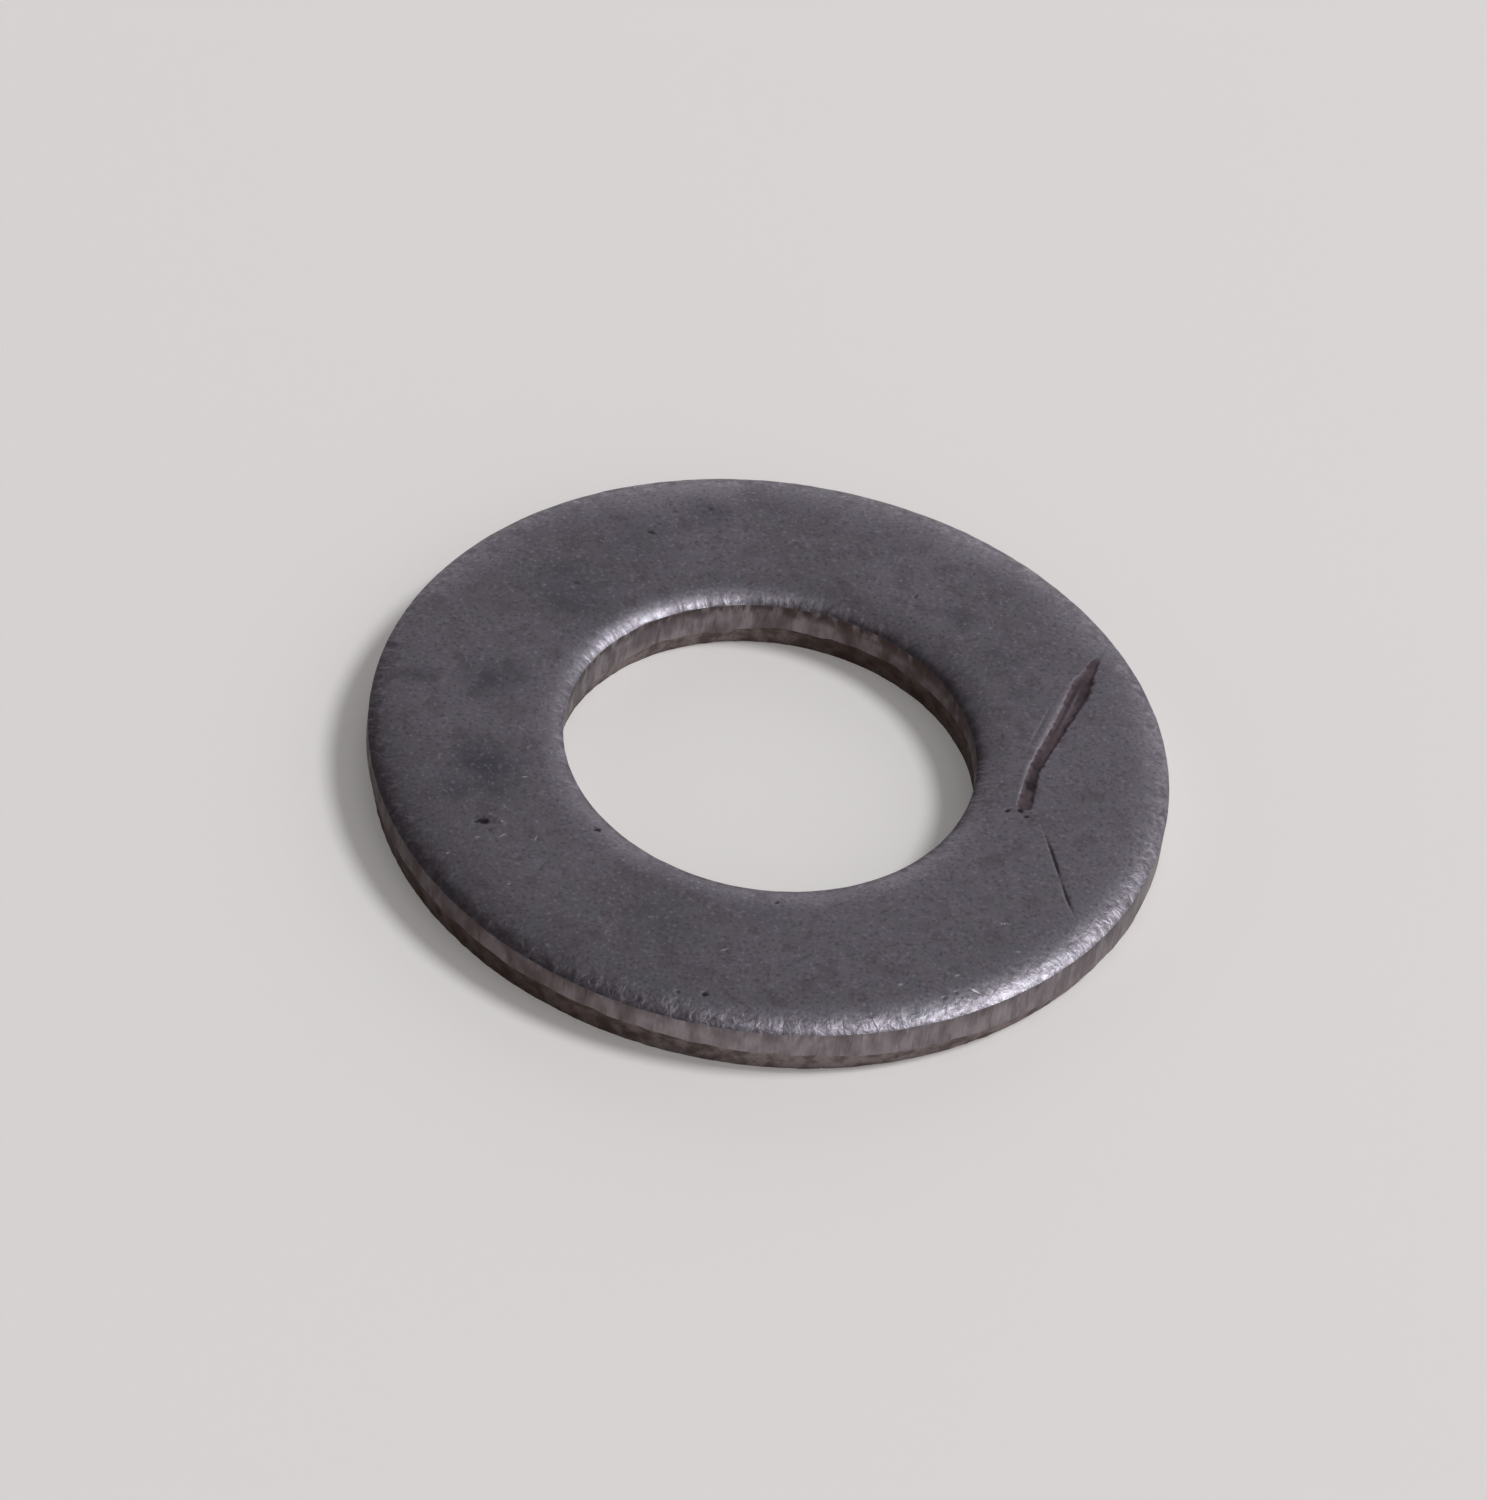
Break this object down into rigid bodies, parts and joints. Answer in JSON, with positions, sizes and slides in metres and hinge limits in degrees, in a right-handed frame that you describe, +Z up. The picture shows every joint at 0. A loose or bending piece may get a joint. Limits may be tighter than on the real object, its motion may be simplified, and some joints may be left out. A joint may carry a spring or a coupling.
{
  "type": "flat washer",
  "caption": "Flat round steel washer with a plain central bore, rolled upper edges and punched walls, for a 3/8 inch or M10 bolt.",
  "frame": {"origin": "centre of the bore at the bottom face, the burr side that the washer lies on", "axes": "+Z up along the bore axis, towards the face with the rolled edges; the washer is round, so +X and +Y are any two directions across it"},
  "size_m": [0.0206, 0.0206, 0.0016],
  "materials": {
    "punched_steel": "dull bare rolled steel with a purple-grey cast, brighter on the rolled edges and the sheared bands"
  },
  "bodies": {
    "root": {"washer": "punched_steel"}
  },
  "joints": []
}
